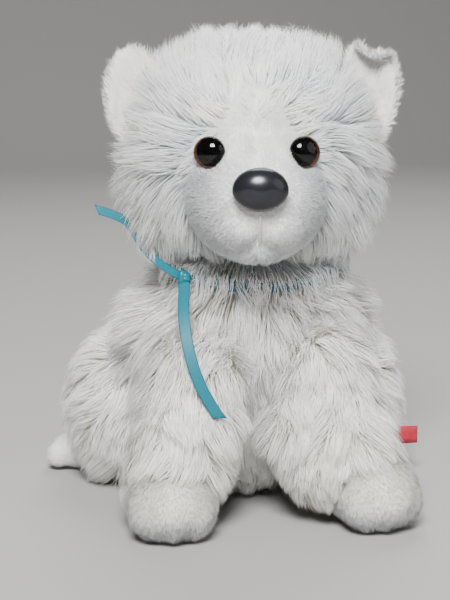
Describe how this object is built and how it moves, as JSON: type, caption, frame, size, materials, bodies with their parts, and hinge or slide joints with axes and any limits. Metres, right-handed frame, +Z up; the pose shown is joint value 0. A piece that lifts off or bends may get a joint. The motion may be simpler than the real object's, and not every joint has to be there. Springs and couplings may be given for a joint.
{
  "type": "plush dog",
  "caption": "Sitting long-pile plush dog with a turning and nodding head, folding ears, swinging legs and tail, tied with a satin ribbon.",
  "frame": {"origin": "centre of the torso's flat seat, on the surface that the dog sits on", "axes": "+Z up, -Y the way the body faces, +X the dog's own left"},
  "size_m": [0.2372, 0.2892, 0.2713],
  "materials": {
    "long_pile": "long white pile fur cloth",
    "short_pile": "short-pile white plush",
    "ear_lining": "short-pile pale pink plush",
    "fibre_fill": "white polyester fibre filling",
    "pouch_cloth": "woven pouch of plastic beans",
    "eye_lens": "clear domed plastic over a brown iris",
    "eye_back": "black moulded plastic",
    "nose_plastic": "moulded glossy black",
    "washer_plastic": "white moulded washer",
    "satin_ribbon": "satin ribbon, blue-green",
    "label_cloth": "plain red woven tape",
    "thread": "sewing thread"
  },
  "bodies": {
    "torso": {"seat_panel": "long_pile", "belly_panel": "long_pile", "back_panel_left": "long_pile", "back_panel_right": "long_pile", "torso_filling": "fibre_fill", "bean_pouch": "pouch_cloth", "ribbon_collar": "satin_ribbon", "ribbon_knot": "satin_ribbon", "ribbon_front_end": "satin_ribbon", "ribbon_back_end": "satin_ribbon"},
    "neck": {"neck_plug": "long_pile"},
    "head": {"head_gusset": "long_pile", "chin_panel": "long_pile", "head_side_left": "long_pile", "head_side_right": "long_pile", "head_filling": "fibre_fill", "face_insert": "short_pile", "muzzle_filling": "fibre_fill", "mouth_stitch": "thread", "nose": "nose_plastic", "nose_shank": "nose_plastic", "nose_washer": "washer_plastic", "eye_lens_left": "eye_lens", "eye_back_left": "eye_back", "eye_washer_left": "washer_plastic", "eye_lens_right": "eye_lens", "eye_back_right": "eye_back", "eye_washer_right": "washer_plastic"},
    "tail": {"tail_upper": "long_pile", "tail_lower": "long_pile", "tail_filling": "fibre_fill"},
    "ear_left": {"ear_back_left": "long_pile", "ear_lining_left": "ear_lining"},
    "front_leg_left": {"front_leg_outer_left": "long_pile", "front_leg_inner_left": "long_pile", "front_paw_left": "short_pile", "front_sole_left": "short_pile", "front_leg_filling_left": "fibre_fill"},
    "hind_leg_left": {"thigh_outer_left": "long_pile", "thigh_inner_left": "long_pile", "thigh_filling_left": "fibre_fill", "hind_paw_left": "short_pile", "side_label": "label_cloth"},
    "ear_right": {"ear_back_right": "long_pile", "ear_lining_right": "ear_lining"},
    "front_leg_right": {"front_leg_outer_right": "long_pile", "front_leg_inner_right": "long_pile", "front_paw_right": "short_pile", "front_sole_right": "short_pile", "front_leg_filling_right": "fibre_fill"},
    "hind_leg_right": {"thigh_outer_right": "long_pile", "thigh_inner_right": "long_pile", "thigh_filling_right": "fibre_fill", "hind_paw_right": "short_pile"}
  },
  "joints": [
    {"name": "head_turn", "type": "hinge", "parent": "torso", "child": "neck", "pos_m": [0, -0.044, 0.15], "axis": [0, 0, 1], "range_deg": [-25, 25]},
    {"name": "head_nod", "type": "hinge", "parent": "neck", "child": "head", "pos_m": [0, -0.044, 0.15], "axis": [0.9925, -0.1219, 0], "range_deg": [-12, 12]},
    {"name": "tail_wag", "type": "hinge", "parent": "torso", "child": "tail", "pos_m": [0, 0.0686, 0.038], "axis": [0, 0, 1], "range_deg": [-20, 20]},
    {"name": "front_leg_left_splay", "type": "hinge", "parent": "torso", "child": "front_leg_left", "pos_m": [0.045, -0.083, 0.092], "axis": [0, -1, 0], "range_deg": [-4, 25]},
    {"name": "hind_leg_left_turn", "type": "hinge", "parent": "torso", "child": "hind_leg_left", "pos_m": [0.07, 0.01, 0.047], "axis": [1, 0, 0], "range_deg": [-5, 35]},
    {"name": "ear_left_fold", "type": "hinge", "parent": "head", "child": "ear_left", "pos_m": [0.05567, -0.06696, 0.23765], "axis": [0.4626, -0.0568, -0.8848], "range_deg": [-20, 25]},
    {"name": "front_leg_right_splay", "type": "hinge", "parent": "torso", "child": "front_leg_right", "pos_m": [-0.045, -0.083, 0.092], "axis": [0, 1, 0], "range_deg": [-4, 25]},
    {"name": "hind_leg_right_turn", "type": "hinge", "parent": "torso", "child": "hind_leg_right", "pos_m": [-0.07, 0.01, 0.047], "axis": [1, 0, 0], "range_deg": [-5, 35]},
    {"name": "ear_right_fold", "type": "hinge", "parent": "head", "child": "ear_right", "pos_m": [-0.05957, -0.05281, 0.23765], "axis": [0.4626, -0.0568, 0.8848], "range_deg": [-20, 25]}
  ]
}
